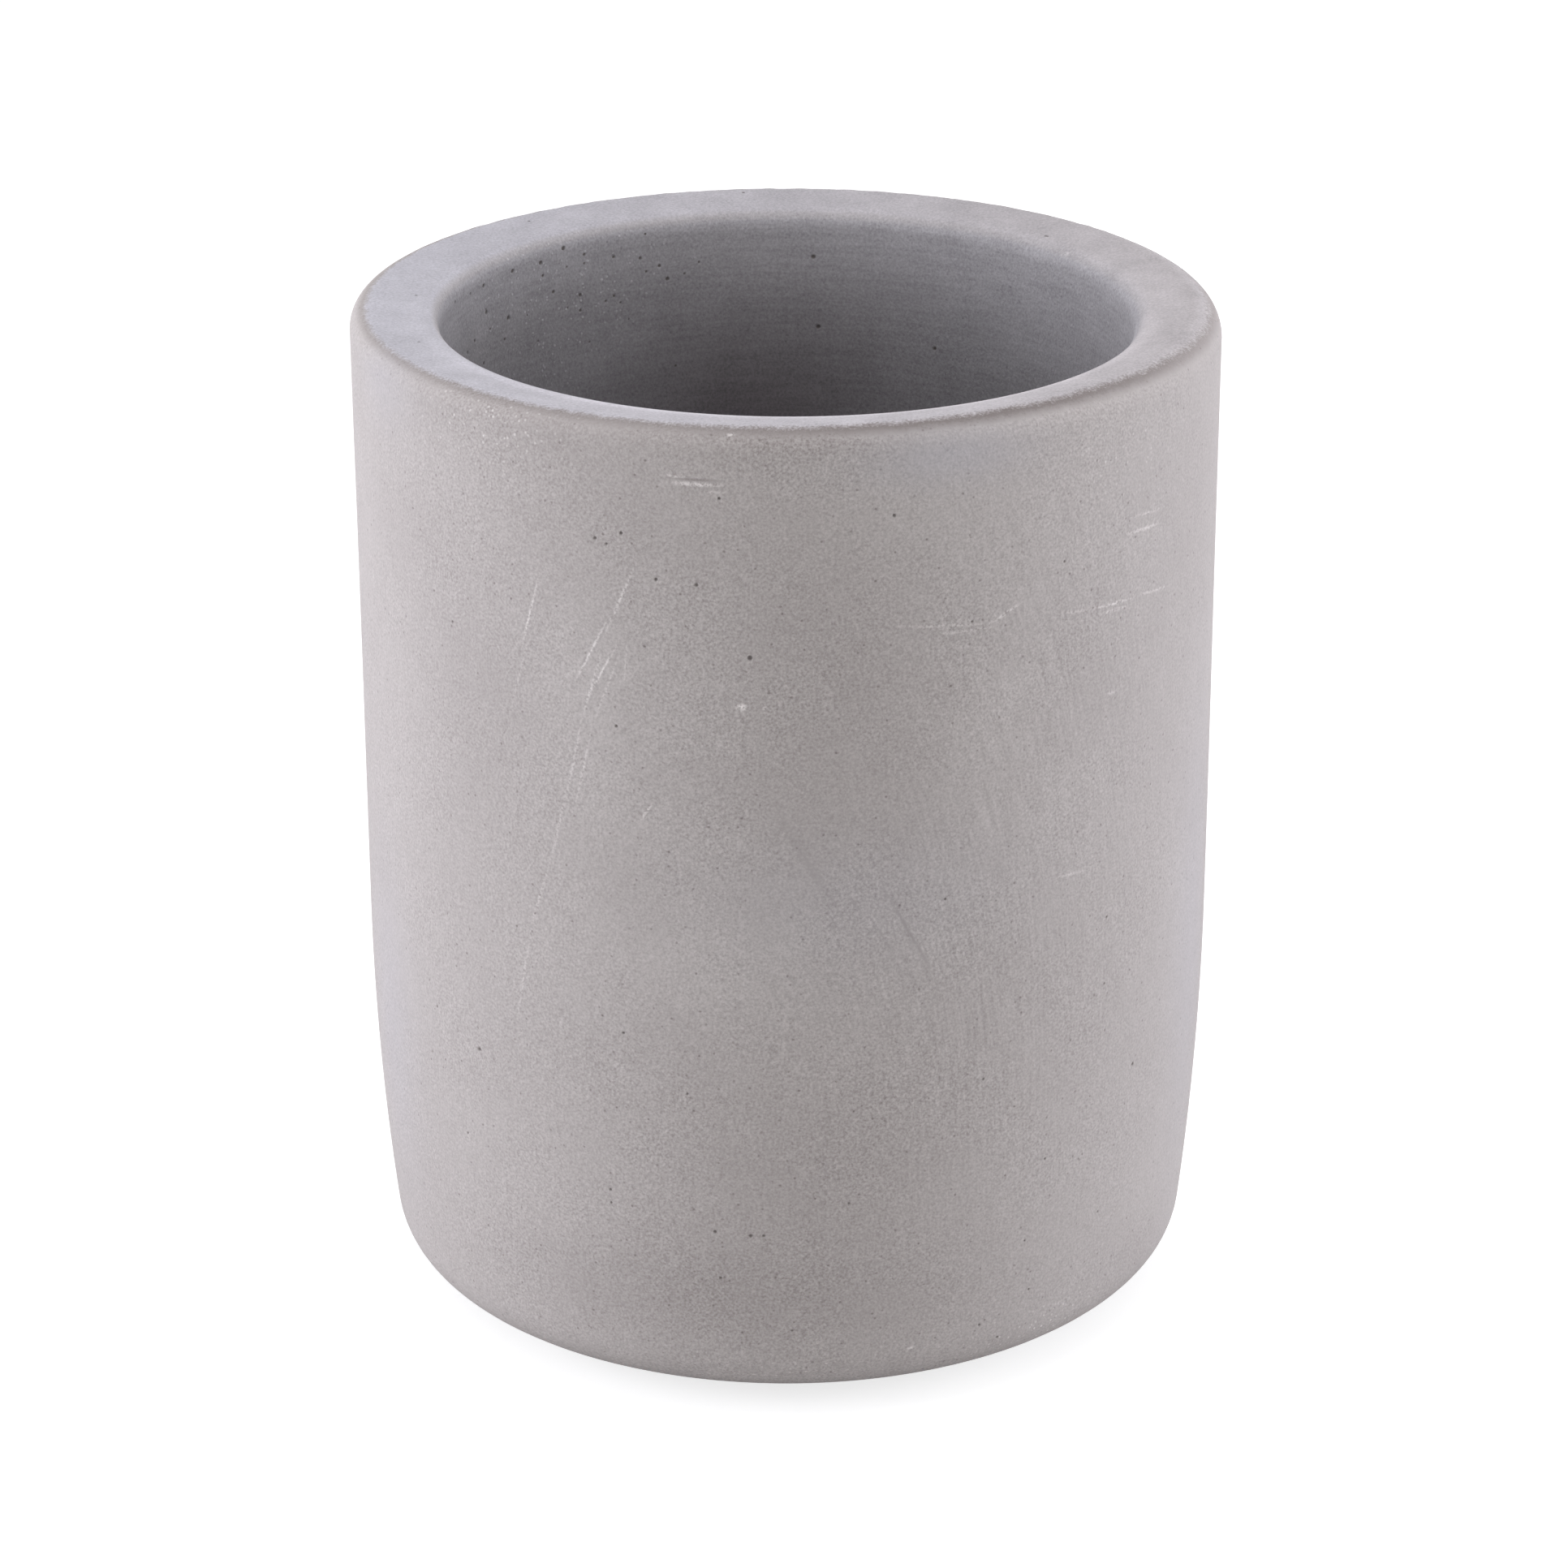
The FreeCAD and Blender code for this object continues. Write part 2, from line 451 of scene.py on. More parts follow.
# %% Rim's inner corner, worn at the front right and crisp opposite
front_right = math.radians(-40)
corner_middle = (starts["inner_rim"] + starts["bore"]) / 2
corner_cut = math.sqrt(2) - 1   # depth at the corner's middle for each mm of radius
worn_inner = 0.9 * towards(front_right, 1.8)       # mm on the corner's radius
crisp_inner = 0.4 * (1 - np.cos(angle - front_right))
dip -= corner_cut * worn_inner * about(corner_middle, 1.9)
dip += corner_cut * crisp_inner * about(corner_middle, 1.3)
print(f"inner corner worn by up to {worn_inner.max():.1f} mm")

# %% Press in the pinholes
pinhole_depth = 0.8             # in radii
pinhole_core = 0.55             # its shade is full to here, in radii, and ends at its edge
pinhole_edge = 1.15
pinhole_dust_and_shade = np.zeros(count)
for place, hole_radius in pinholes:
    off = np.linalg.norm(smooth * MM - np.array(place), axis=1) / hole_radius
    dip -= pinhole_depth * hole_radius / MM * np.sqrt(np.clip(1 - off ** 2, 0, 1))
    # darkening of each hole: partly dust, partly painted shade in the hollow
    pinhole_dust_and_shade = np.maximum(pinhole_dust_and_shade, 1 - fade(off, pinhole_core, pinhole_edge))
radius += dip * normal_out
height += dip * normal_up
moved = np.stack([radius * np.cos(angle), radius * np.sin(angle), height], 1) * MM
casting_mesh.vertices.foreach_set("co", moved.ravel())
casting_mesh.polygons.foreach_set("use_smooth", np.ones(len(casting_mesh.polygons), bool))
casting_mesh.update()
casting = new_object("concrete_cup", casting_mesh)
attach(casting, "root")
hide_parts("cast_cup")
print(f"dips from {dip.min():.2f} to {dip.max():.2f} mm")

# %% [markdown]
# ## Broad patches
# Concrete is never one grey. Water and cement fines gather in clouds, a rubbing pad leaves one area brushed
# and the next one bare, and here and there the skin is gone and sand shows. Such patches are centimetres
# wide, so the mesh's own points can hold them: each patch is a soft spot at a pixel, summed into an
# attribute that the finish reads. Noise alone would give patches too, but not in these places.

# %% Patches of the photograph
clouds_by_pixel = [             # x, y, half width and half height in mm, and strength
    (1030, 774, 12, 11, -0.13), (583, 857, 8, 11, -0.12), (503, 639, 8, 7, -0.08),
    (721, 843, 4, 14, 0.05), (864, 1191, 12, 6, 0.08), (797, 1112, 5, 4, -0.06),
    (818, 1305, 10, 5, -0.05), (953, 1509, 12, 5, -0.05), (1217, 916, 5, 10, 0.05),
    (491, 1184, 8, 8, 0.05), (1448, 1151, 8, 10, 0.05), (1344, 798, 6, 10, -0.05),
    (1472, 658, 8, 10, -0.06), (960, 1290, 70, 18, -0.05), (968, 545, 12, 1.5, -0.22),
    (1400, 1560, 9, 6, -0.14), (600, 490, 18, 5, -0.17),
    (890, 1600, 24, 6, -0.22), (1010, 1420, 16, 8, -0.12), (1000, 1000, 10, 10, -0.09),
    (748, 660, 12, 8, -0.10), (1140, 640, 10, 8, 0.09),
]
# smears of fines, and two tall bands at (1468, 1150) and (482, 1250) along the far right and left edges,
# which are painted bluish sheen
fines_and_edge_sheen_by_pixel = [
    (1170, 560, 8, 2.5, 0.8), (470, 470, 6, 4, 0.5), (1060, 1110, 14, 7, 0.3), (1468, 1150, 6, 22, 0.5),
    (482, 1250, 6, 16, 0.5),
]
brushed_by_pixel = [(1290, 900, 14, 30, 0.8), (1180, 1250, 12, 18, 0.8), (720, 950, 8, 24, 0.4)]
sandy_by_pixel = [
    (600, 520, 9, 4, 0.9), (1280, 1640, 9, 3, 0.8), (1390, 560, 7, 4, 0.4), (960, 1690, 14, 2, 0.5),
    (650, 350, 12, 7, 0.9), (780, 330, 10, 6, 0.6), (690, 430, 8, 6, 0.7),
]
print(f"{len(clouds_by_pixel)} clouds and {len(fines_and_edge_sheen_by_pixel)} smears of fines")


# %% Patches held by the mesh
def place_of(pixel):
    """Distance along the profile, in mm, and angle of the point of the cup that a pixel shows."""
    spot = on_cup(pixel)[0] / MM
    row = np.argmin((dense[:, 1] - math.hypot(spot.x, spot.y)) ** 2 + (dense[:, 2] - spot.z) ** 2)
    return dense[row, 0], math.atan2(spot.y, spot.x)


def hold(name, values):
    """Keeps one number for each point of the casting, under a name that a finish can read."""
    casting_mesh.attributes.new(name, "FLOAT", "POINT").data.foreach_set("value", values)


def patches(listed, ground=0.0):
    """Sum of soft patches on an even ground."""
    total = np.full(count, ground)
    for x, y, half_width, half_height, strength in listed:
        middle, facing = place_of((x, y))
        sideways = (angle - facing + math.pi) % (2 * math.pi) - math.pi
        off = (sideways * outer_radius / half_width) ** 2 + ((distance - middle) / half_height) ** 2
        total += strength * np.exp(-off)
    return total


front = math.radians(-90)       # angles round the cup
right = 0.0
hold("pinhole", pinhole_dust_and_shade)
hold("cloud", patches(clouds_by_pixel))
hold("fines_and_sheen", patches(fines_and_edge_sheen_by_pixel))
hold("brushed", patches(brushed_by_pixel, ground=0.25))
hold("sandy", patches(sandy_by_pixel, ground=0.1))
hold("sand_bared", 0.85 + 0.45 * towards(front, 3) - 0.25 * towards(right, 3))   # rubbed most in front

# %% Rim and inside held by the mesh
facing_front = np.clip(-np.sin(angle), 0, 1)
rubbed_low = 0.8 * facing_front  # mm; the front edge is rubbed further down inside
past_land = distance > starts["inner_rim"]
hold("depth_inside", np.where(past_land, rim_z - height - rubbed_low, 0))
painted_shade_middle = math.radians(97)      # the far side of the bore, painted darker as shade
painted_shade_width = math.radians(28)
painted_shade_depth = 26                 # mm below the rim, where the painted shade is darkest
# painted shade: the far side of the bore grows darker towards the floor, where little light reaches
bore_painted_shade = fade(rim_z - height, 0, painted_shade_depth) * np.exp(-(((angle - painted_shade_middle) / painted_shade_width) ** 2))
hold("bore_painted_shade", np.where(past_land, bore_painted_shade, 0))
dirtiest = math.radians(-60)    # further to the front
hold("edge_dirt", 0.25 + 0.55 * towards(dirtiest, 4))
edge_shift = 1.1 * towards(right, 5)  # mm that the dirty edge sits further out on the right
hold("past_edge", distance - starts["outer_rim"] + edge_shift)
rim_least_lit = math.radians(60)      # the back right, where the land is painted darkest
# painted highlight: a thin pale line along the front inner edge, where grazing light glints
painted_edge_highlight = about(starts["inner_rim"] - 0.2, 0.7) * facing_front
# painted light on the land: darker at the back right and lighter at the front, plus the painted highlight
hold("rim_painted_light", 1 - 0.07 * (1 + np.cos(angle - rim_least_lit)) + 0.24 * painted_edge_highlight)
print("attributes:", [layer.name for layer in casting_mesh.attributes if layer.domain == "POINT"])

# %% [markdown]
# ## Helpers for finishes
# A material is a small tree of nodes. One function adds a node, sets it up and links it, so that a finish
# reads as a list of steps. Colours are written as the sRGB hex values that a paint chart would give, and a
# second function turns them to the linear light that Blender works in. Pattern scales come from real sizes:
# a noise with a lattice of 0.5 mm has a scale of 2000, because Blender's lengths here are metres. The last
# function adds patterns up by weight, as sand and grit are weighed into a mortar.

# %% Helpers for finishes
MIX_A, MIX_B, MIX_RESULT = 6, 7, 2  # the colour sockets of a Mix node


def add(tree, kind, inputs, out=0, **settings):
    """Adds one node with its settings, links or sets its inputs and returns one of its outputs."""
    made = tree.nodes.new("ShaderNode" + kind)
    for name, value in settings.items():
        setattr(made, name, value)
    for name, value in inputs.items():
        if isinstance(value, bpy.types.NodeSocket):
            tree.links.new(value, made.inputs[name])
        else:
            made.inputs[name].default_value = value
    return made.outputs[out] if made.outputs else None


def colour(code):
    """Linear colour of an sRGB hex value."""
    parts = [int(code[k:k + 2], 16) / 255 for k in (1, 3, 5)]
    return (*(p / 12.92 if p <= 0.04045 else ((p + 0.055) / 1.055) ** 2.4 for p in parts), 1)


def per_mm(size):
    """Scale of a pattern whose lattice is this many millimetres wide."""
    return 1 / (size * MM)


def new_material(name):
    """Material with an empty tree."""
    material = bpy.data.materials.new(name)
    material.use_nodes = True
    material.node_tree.nodes.clear()
    return material, material.node_tree


def mixed_in(tree, tone, patterns):
    """Adds patterns to a tone, each with its weight."""
    for pattern, weight in patterns:
        tone = add(tree, "Math", {0: pattern, 1: weight, 2: tone}, operation="MULTIPLY_ADD")
    return tone


print("a mid grey of #808080 is", round(colour("#808080")[0], 3), "in linear light")

# %% [markdown]
# ## Cast concrete
# Bare cement mortar is matt and nearly neutral: grey cement with fine sand, clouded where water and fines
# gathered, with pale and dark grains of a tenth to half a millimetre. All these only change how light the
# grey is, so they are added up to one tone, and one mix turns that tone into colour.

# %% Concrete: clouds and sand
concrete, tree = new_material("cast_concrete")
where = add(tree, "TexCoord", {}, "Object")
held = {                        # what the mesh holds, by name
    layer.name: add(tree, "Attribute", {}, "Fac", attribute_name=layer.name)
    for layer in casting_mesh.attributes if layer.data_type == "FLOAT"
}
cloud = add(tree, "TexNoise", {"Vector": where, "Scale": per_mm(26), "Detail": 3})
mottle = add(tree, "TexNoise", {"Vector": where, "Scale": per_mm(5), "Detail": 3, "Roughness": 0.6})
grit = add(tree, "TexNoise", {"Vector": where, "Scale": per_mm(1.5), "Detail": 2, "Roughness": 0.6})
sand = add(tree, "TexNoise", {"Vector": where, "Scale": per_mm(0.26), "Detail": 1, "Roughness": 0.7})
bare = add(tree, "TexNoise", {"Vector": where, "Scale": per_mm(9), "Detail": 2})
bare = add(tree, "MapRange", {"Value": bare, "From Min": 0.35, "From Max": 0.65,
                              "To Min": 0.75, "To Max": 1.25})
bare = add(tree, "Math", {0: bare, 1: held["sand_bared"]}, operation="MULTIPLY")
grains = add(tree, "Math", {0: sand, 1: 0.5}, operation="SUBTRACT")
grains = add(tree, "Math", {0: grains, 1: bare, 2: 0.5}, operation="MULTIPLY_ADD")
grain = [(cloud, 0.15), (mottle, 0.13), (grit, 0.13), (grains, 1.00)]   # each pattern and its weight
tone = mixed_in(tree, held["cloud"], grain)
middle_tone = 0.5 - sum(weight for pattern, weight in grain) / 2
tone = add(tree, "Math", {0: tone, 1: middle_tone}, operation="ADD")
print(f"{len(grain)} patterns added up to one tone, and {len(held)} fields read from the mesh")

# %% [markdown]
# ### Strokes of the rubbing pad
# The casting was rubbed down in arches, so fine strokes rise from the foot, lean over and come down again.
# The strokes are a noise that is stretched along such arches: the unrolled texture map gives the place on
# the side, an ellipse about the middle of the arch gives the distance across the strokes, and the height
# gives the way along.

# %% Concrete: strokes
arch_pixel = (896, 1485)        # under the middle of the arch
arch_half_width = 26.0          # mm
arch_height = 62.0
stroke_width = 0.32
stroke_length = 7.0
stroke_strength = 0.5
arch_distance, arch_angle = place_of(arch_pixel)
arch_scale = Vector((2 * math.pi * outer_radius / arch_half_width, profile_length / arch_height, 1))
arch_share = Vector(((arch_angle - seam_angle) / (2 * math.pi) % 1, arch_distance / profile_length, 0))
unrolled = add(tree, "UVMap", {}, uv_map="OFBake")
arch = add(tree, "Mapping", {"Vector": unrolled, "Location": -arch_share * arch_scale, "Scale": arch_scale})
across = add(tree, "VectorMath", {0: arch}, "Value", operation="LENGTH")
rise = add(tree, "SeparateXYZ", {"Vector": arch}, "Y")
stroke_stretch = (arch_height / stroke_length) / (arch_half_width / stroke_width)
rise = add(tree, "Math", {0: rise, 1: stroke_stretch}, operation="MULTIPLY")
along_stroke = add(tree, "CombineXYZ", {"X": across, "Y": rise})
strokes = add(tree, "TexNoise", {"Vector": along_stroke, "Scale": arch_half_width / stroke_width,
                                 "Detail": 3})
strokes = add(tree, "Math", {0: strokes, 1: 0.5}, operation="SUBTRACT")
strokes = add(tree, "Math", {0: strokes, 1: held["brushed"]}, operation="MULTIPLY")
tone = mixed_in(tree, tone, [(strokes, stroke_strength)])
print(f"strokes {stroke_width} mm wide in an arch {arch_height:.0f} mm high")

# %% [markdown]
# ### Scratches and rubs
# Pale scratches and darker rubs came from rubbing the casting down and from use. They could be cut into the
# mesh, but they are shallower than a grain of sand, so only their tone shows. Each is a thin stretched ball
# of a gradient, laid along the surface between two pixels of the photograph and broken up by the sand.

# %% Concrete: scratches
scratches_by_pixel = [          # from x, y, to x, y, width in mm and strength
    (666, 700, 641, 805, 0.40, 0.7), (650, 790, 628, 880, 0.35, 0.3), (786, 689, 740, 793, 0.40, 0.6),
    (752, 756, 706, 845, 0.36, 0.7), (763, 789, 721, 864, 0.36, 0.7), (773, 785, 768, 850, 0.30, 0.4),
    (745, 790, 713, 898, 0.40, 0.5), (718, 880, 694, 1000, 0.40, 0.45), (765, 800, 728, 900, 0.36, 0.4),
    (730, 890, 707, 1000, 0.36, 0.4), (700, 960, 676, 1072, 0.45, 0.35),
    (678, 1060, 650, 1154, 0.45, 0.35), (655, 1140, 635, 1266, 0.45, 0.3),
    (804, 989, 788, 1013, 0.40, 0.8), (814, 594, 898, 599, 0.55, 0.9), (812, 585, 848, 588, 0.45, 0.6),
    (820, 589, 896, 593, 0.40, -0.6), (860, 607, 900, 607, 0.40, 0.4), (1380, 661, 1434, 642, 0.50, 0.6),
    (1388, 640, 1440, 622, 0.40, 0.4), (1340, 752, 1400, 735, 0.45, 0.8),
    (1348, 759, 1396, 744, 0.40, 0.6), (1395, 735, 1446, 719, 0.45, 0.45),
    (1300, 757, 1345, 751, 0.40, 0.4), (1215, 772, 1262, 740, 0.45, 0.7),
    (1080, 772, 1225, 768, 0.40, 0.45), (1140, 783, 1230, 772, 0.36, 0.35),
    (1290, 1084, 1345, 1070, 0.40, 0.35), (691, 425, 710, 408, 0.50, 0.5),
    (666, 464, 674, 450, 0.45, 0.6), (655, 458, 664, 446, 0.40, 0.4),
    (1082, 1083, 1163, 1222, 0.45, -0.28), (1041, 1100, 1060, 1124, 0.40, -0.25),
    (1060, 1110, 1110, 1190, 0.40, -0.2), (930, 950, 1054, 1162, 1.6, -0.14),
    (1078, 1070, 1187, 1283, 1.8, -0.12), (905, 873, 922, 871, 0.90, 1.3),
    (938, 873, 946, 873, 0.50, 0.7), (893, 536, 907, 535, 0.60, 1.2), (1362, 856, 1378, 850, 0.70, 0.5),
    (1116, 1661, 1130, 1661, 0.60, 0.7), (1118, 366, 1130, 369, 0.45, 0.9),
    (1304, 317, 1326, 309, 0.80, 1.2), (1340, 385, 1370, 400, 0.45, 0.5),
    (1356, 382, 1378, 394, 0.40, 0.4),
]
scratch_depth = 2.0             # mm, so that a straight mark reaches a curved surface
scratch_strength = 1.25         # on all of them


def mark(start, end, width):
    """Mask of a thin mark between two pixels: 1 at its middle, 0 at its rim."""
    first, facing = on_cup(start)
    last = on_cup(end)[0]
    lengthwise = (last - first).normalized()
    sideways = facing.cross(lengthwise).normalized()
    turned_by = Matrix((lengthwise, sideways, lengthwise.cross(sideways))).transposed().to_euler()
    size = ((last - first).length / 2, width * MM / 2, scratch_depth * MM)
    inputs = {"Vector": where, "Location": (first + last) / 2, "Rotation": turned_by, "Scale": size}
    local = add(tree, "Mapping", inputs, vector_type="TEXTURE")
    return add(tree, "TexGradient", {"Vector": local}, "Fac", gradient_type="SPHERICAL")


broken = add(tree, "MapRange", {"Value": sand, "From Min": 0.35, "From Max": 0.55})
for x0, y0, x1, y1, width, strength in scratches_by_pixel:
    mask = add(tree, "Math", {0: mark((x0, y0), (x1, y1), width), 1: broken}, operation="MULTIPLY")
    tone = mixed_in(tree, tone, [(mask, scratch_strength * strength)])
print(f"{len(scratches_by_pixel)} scratches and rubs")

# %% [markdown]
# ### Specks and colour
# Single grains stand out from the sand: pale ones where the skin is rubbed off, and dark ones all over. A
# noise would clump them, so they are dots of a Voronoi pattern, which has one dot in each of its cells. The
# finished tone is then turned into grey, and dried fines tint it blue, as does a painted sheen along the far
# left and right edges.

# %% Concrete: specks
pale_apart = 0.75               # mm from speck to speck
dark_apart = 1.3
pale_speck = add(tree, "TexVoronoi", {"Vector": where, "Scale": per_mm(pale_apart)}, "Distance")
pale_speck = add(tree, "MapRange", {"Value": pale_speck, "From Min": 0.10, "From Max": 0.24,
                                    "To Min": 1, "To Max": 0})
pale_speck = add(tree, "Math", {0: pale_speck, 1: held["sandy"]}, operation="MULTIPLY")
dark_speck = add(tree, "TexVoronoi", {"Vector": where, "Scale": per_mm(dark_apart)}, "Distance")
dark_speck = add(tree, "MapRange", {"Value": dark_speck, "From Min": 0.05, "From Max": 0.13,
                                    "To Min": 1, "To Max": 0})
tone = mixed_in(tree, tone, [(pale_speck, 0.85), (dark_speck, -0.5)])
print(f"pale specks {pale_apart} mm apart, dark ones {dark_apart} mm")

# %% Concrete: tone to colour
shade_grey = colour("#97908E")
light_grey = colour("#C9C3C1")
fines_and_sheen_blue = colour("#B4B3BD")  # cement fines dry paler and bluer; the bands along the far left and right edges are painted bluish sheen
fines_and_sheen_strength = 0.4
body = add(tree, "Mix", {0: tone, MIX_A: shade_grey, MIX_B: light_grey}, MIX_RESULT,
           data_type="RGBA", clamp_factor=False)
# fines and the painted edge sheen tint the grey blue
fines_and_sheen = add(tree, "Math", {0: held["fines_and_sheen"], 1: fines_and_sheen_strength}, operation="MULTIPLY")
body = add(tree, "Mix", {0: fines_and_sheen, MIX_A: body, MIX_B: fines_and_sheen_blue}, MIX_RESULT, data_type="RGBA")
print("greys in linear light:", [round(grey[0], 2) for grey in (shade_grey, light_grey)])

# %% [markdown]
# ### Rim, inside and pinholes
# Rubbing the rim down brought up a thin bluish skin of fines. It ends on the outer corner in a dark ragged
# edge, strongest at the front right, where the corner is soft and holds dirt. The land's skin is painted
# darker at the back right and lighter at the front, with a painted highlight along the front inner edge.
# Inside, the skin that set against the core is a little darker and bluer than the side, with sand showing
# through and faint marks that run round the bore. The far side is painted darker towards the floor, as
# painted shade, and each pinhole is darkened partly for dust and partly as painted shade. The mesh holds
# where all these begin, because they follow the rim and not the axes of a pattern.

# %% Concrete: where the rim's skin and its dirt begin and end
aside = add(tree, "SeparateXYZ", {"Vector": where}, "X")
from_left = add(tree, "MapRange", {"Value": aside, "From Min": -outer_radius * MM,
                                   "From Max": outer_radius * MM})
ragged_grit = 0.6               # mm that grit and sand shift the edge
ragged_sand = 1.2
ragged = mixed_in(tree, held["past_edge"], [(grit, ragged_grit), (sand, ragged_sand)])
ragged_mean = (ragged_grit + ragged_sand) / 2
skin_from = ragged_mean + 3.1   # mm past the start of the outer corner, where the skin begins
skin_full = ragged_mean + 3.9
dirt_from = ragged_mean + 2.0   # and where the dirt along its edge begins
dirt_full = ragged_mean + 2.9
skin_start = add(tree, "MapRange", {"Value": ragged, "From Min": skin_from, "From Max": skin_full})
skin_thins = starts["inner_rim"] + 1.2  # mm along the profile
skin_gone = starts["inner_rim"] + 2.2
skin_end = add(tree, "MapRange", {"Value": held["along_profile"], "From Min": skin_thins,
                                  "From Max": skin_gone, "To Min": 1, "To Max": 0})
rim_skin = add(tree, "Math", {0: skin_start, 1: skin_end}, operation="MULTIPLY")
dirt_start = add(tree, "MapRange", {"Value": ragged, "From Min": dirt_from, "From Max": dirt_full})
dirt_end = add(tree, "MapRange", {"Value": ragged, "From Min": skin_from, "From Max": skin_full,
                                  "To Min": 1, "To Max": 0})
dirt = add(tree, "Math", {0: dirt_start, 1: dirt_end}, operation="MULTIPLY")
dirt = add(tree, "Math", {0: dirt, 1: held["edge_dirt"]}, operation="MULTIPLY")
print(f"skin from {skin_from - ragged_mean:.1f} mm past the side, dirt from {dirt_from - ragged_mean:.1f} mm")

# %% Concrete: the rim's skin and dirt
dirt_brown = colour("#7C7472")
skin_mottle = 0.7               # weight beside the sand
skin_right = colour("#C1BBBC")
skin_left = colour("#BEBCC3")
skin = add(tree, "Mix", {0: from_left, MIX_A: skin_left, MIX_B: skin_right}, MIX_RESULT, data_type="RGBA")
skin_grain = mixed_in(tree, sand, [(mottle, skin_mottle)])
skin_grain = add(tree, "MapRange", {"Value": skin_grain, "From Max": 1 + skin_mottle,
                                    "To Min": 0.5, "To Max": 1.5})
# the rim's painted light and painted highlight brighten or darken the skin
skin_grain = add(tree, "Math", {0: skin_grain, 1: held["rim_painted_light"]}, operation="MULTIPLY")
skin = add(tree, "Mix", {0: 1.0, MIX_A: skin, MIX_B: skin_grain}, MIX_RESULT,
           data_type="RGBA", blend_type="MULTIPLY")
body = add(tree, "Mix", {0: rim_skin, MIX_A: body, MIX_B: skin}, MIX_RESULT, data_type="RGBA")
body = add(tree, "Mix", {0: dirt, MIX_A: body, MIX_B: dirt_brown}, MIX_RESULT, data_type="RGBA")
print(f"{len(tree.nodes)} nodes so far")

# %% Concrete: inside and pinholes
deep = add(tree, "MapRange", {"Value": held["depth_inside"], "From Min": 0.7, "From Max": 1.7})   # mm
ring_size = Vector((8, 8, 0.5))  # mm; marks of the core run round the bore
rings = add(tree, "Mapping", {"Vector": where, "Scale": [per_mm(size) for size in ring_size]})
rings = add(tree, "TexNoise", {"Vector": rings, "Scale": 1.0, "Detail": 3, "Roughness": 0.6})
inside_grain = [(rings, 0.5), (mottle, 0.4), (pale_speck, 0.6), (dark_speck, -0.25)]
inside_tone = mixed_in(tree, sand, inside_grain)
inside_tone = add(tree, "MapRange", {"Value": inside_tone, "From Min": 0.4, "From Max": 1.5})
inside_dark = colour("#858285")
inside_pale = colour("#C5C2C6")
inside = add(tree, "Mix", {0: inside_tone, MIX_A: inside_dark, MIX_B: inside_pale}, MIX_RESULT,
             data_type="RGBA")
painted_shade_colour = colour("#BEB9B8")  # painted shade: the far side of the bore is about half as light
# painted shade multiplied into the far side of the bore
inside = add(tree, "Mix", {0: held["bore_painted_shade"], MIX_A: inside, MIX_B: painted_shade_colour}, MIX_RESULT,
             data_type="RGBA", blend_type="MULTIPLY")
body = add(tree, "Mix", {0: deep, MIX_A: body, MIX_B: inside}, MIX_RESULT, data_type="RGBA")
# pinholes darkened: partly dust in them, partly painted shade
hole_dust_and_shade = colour("#7A7472")
body = add(tree, "Mix", {0: held["pinhole"], MIX_A: body, MIX_B: hole_dust_and_shade}, MIX_RESULT, data_type="RGBA")
print(f"rings {ring_size.z} mm high inside the bore")

# %% Concrete: relief and shader
sand_relief = 0.03              # mm
skin_roughness = 0.6            # the rubbed skin is a little smoother than the bare cement
cement_roughness = 0.92
cement_gloss = 0.05             # dry cement scatters nearly all of its gloss
relief = mixed_in(tree, grit, [(sand, 0.8), (pale_speck, 1.5)])
bump = add(tree, "Bump", {"Height": relief, "Strength": 1.0, "Distance": sand_relief * MM})
rough = add(tree, "MapRange", {"Value": rim_skin, "To Min": cement_roughness, "To Max": skin_roughness})
shader = add(tree, "BsdfPrincipled", {"Base Color": body, "Roughness": rough, "IOR": 1.5,
                                      "Specular IOR Level": cement_gloss, "Normal": bump})
add(tree, "OutputMaterial", {"Surface": shader})
casting_mesh.materials.append(concrete)
print(f"concrete of {len(tree.nodes)} nodes")

# %% [markdown]
# ## Foam pad
# The pad is a disc die-cut from a sheet of black closed-cell EVA foam. A die leaves the cut edge a little
# hollow, and the cup's weight presses the lower edge round. The disc is turned from its own profile, with
# the same function as the casting, inside the box of its solid.

# %% Foam pad
pad_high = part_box("base_pad")[1]
pad_radius = pad_high.x / MM
pad_top = pad_high.z / MM
pad_lower_round = 0.3           # mm
pad_hollow = 0.06               # how far the die draws the cut edge in
pad_bottom_edge = (pad_radius - pad_lower_round, 0)
pad_side_foot = (pad_radius, pad_lower_round)
pad_waist = (pad_radius - pad_hollow, (pad_lower_round + pad_top) / 2)
pad_side_top = (pad_radius, pad_top)
pad_profile = {
    "bottom": line((0, 0), pad_bottom_edge, flat_spacing),
    "lower_round": arc((pad_bottom_edge[0], pad_lower_round), pad_lower_round, -up_right, 0, 0.1),
    "cut_edge_low": line(pad_side_foot, pad_waist, 0.2),
    "cut_edge_high": line(pad_waist, pad_side_top, 0.2),
    "top": line(pad_side_top, (0, pad_top), flat_spacing),
}
pad_shape = turned(walk(pad_profile), columns=192)
pad_mesh = bpy.data.meshes.new("foam_disc")
pad_shape.to_mesh(pad_mesh)
pad_shape.free()
pad = new_object("foam_pad", pad_mesh)
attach(pad, "root")
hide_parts("base_pad")
print(f"pad of {len(pad_mesh.polygons)} faces, {2 * pad_radius:.1f} mm across")

# %% [markdown]
# ### EVA foam
# Closed-cell EVA is a soft black foam. Its real cells are about a tenth of a millimetre, too fine to show
# here, so they are drawn three times as coarse. The walls of the cut cells catch a little light, so the
# edges of the cells are paler than their hollows.

